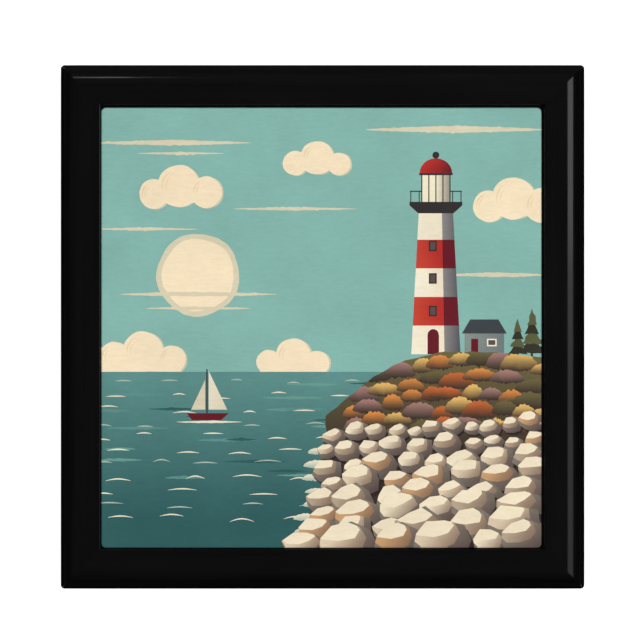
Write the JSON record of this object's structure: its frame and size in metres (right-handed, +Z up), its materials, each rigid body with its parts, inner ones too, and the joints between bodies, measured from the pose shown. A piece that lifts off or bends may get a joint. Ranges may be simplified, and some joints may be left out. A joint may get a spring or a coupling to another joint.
{
  "type": "keepsake box",
  "caption": "Square lacquered wooden box with a printed ceramic tile set in its hinged lid, lined with felt, for trinkets or jewellery.",
  "frame": {"origin": "on the resting plane, under the middle of the box", "axes": "+Z up through the lid; -Y to the front; +Y to the hinges at the back; +X to the right seen from the front"},
  "size_m": [0.1816, 0.1816, 0.072],
  "materials": {
    "lacquer": "gloss",
    "tile": "gloss",
    "board": "matte",
    "foam": "matte",
    "felt": "matte",
    "brass": "polished"
  },
  "bodies": {
    "base": {"base_wall_front": "lacquer", "base_wall_right": "lacquer", "base_wall_back": "lacquer", "base_wall_left": "lacquer", "base_panel": "board", "floor_lining": "felt", "wall_lining_front": "felt", "wall_lining_right": "felt", "wall_lining_back": "felt", "wall_lining_left": "felt", "foot_front_left": "felt", "foot_front_right": "felt", "foot_back_left": "felt", "foot_back_right": "felt", "hinge_left_base_leaf": "brass", "hinge_left_base_screw_left": "brass", "hinge_left_base_screw_right": "brass", "hinge_left_pin": "brass", "hinge_right_base_leaf": "brass", "hinge_right_base_screw_left": "brass", "hinge_right_base_screw_right": "brass", "hinge_right_pin": "brass"},
    "lid": {"lid_rail_front": "lacquer", "lid_rail_right": "lacquer", "lid_rail_back": "lacquer", "lid_rail_left": "lacquer", "lid_panel": "board", "tile": "tile", "tile_pad_front_left": "foam", "tile_pad_front_right": "foam", "tile_pad_back_left": "foam", "tile_pad_back_right": "foam", "lid_lining": "felt", "hinge_left_lid_leaf": "brass", "hinge_left_lid_screw_left": "brass", "hinge_left_lid_screw_right": "brass", "hinge_right_lid_leaf": "brass", "hinge_right_lid_screw_left": "brass", "hinge_right_lid_screw_right": "brass"}
  },
  "joints": [
    {"name": "lid_hinge", "type": "hinge", "parent": "base", "child": "lid", "pos_m": [0, 0.08775, 0.05015], "axis": [-1, 0, 0], "range_deg": [0, 100]}
  ]
}
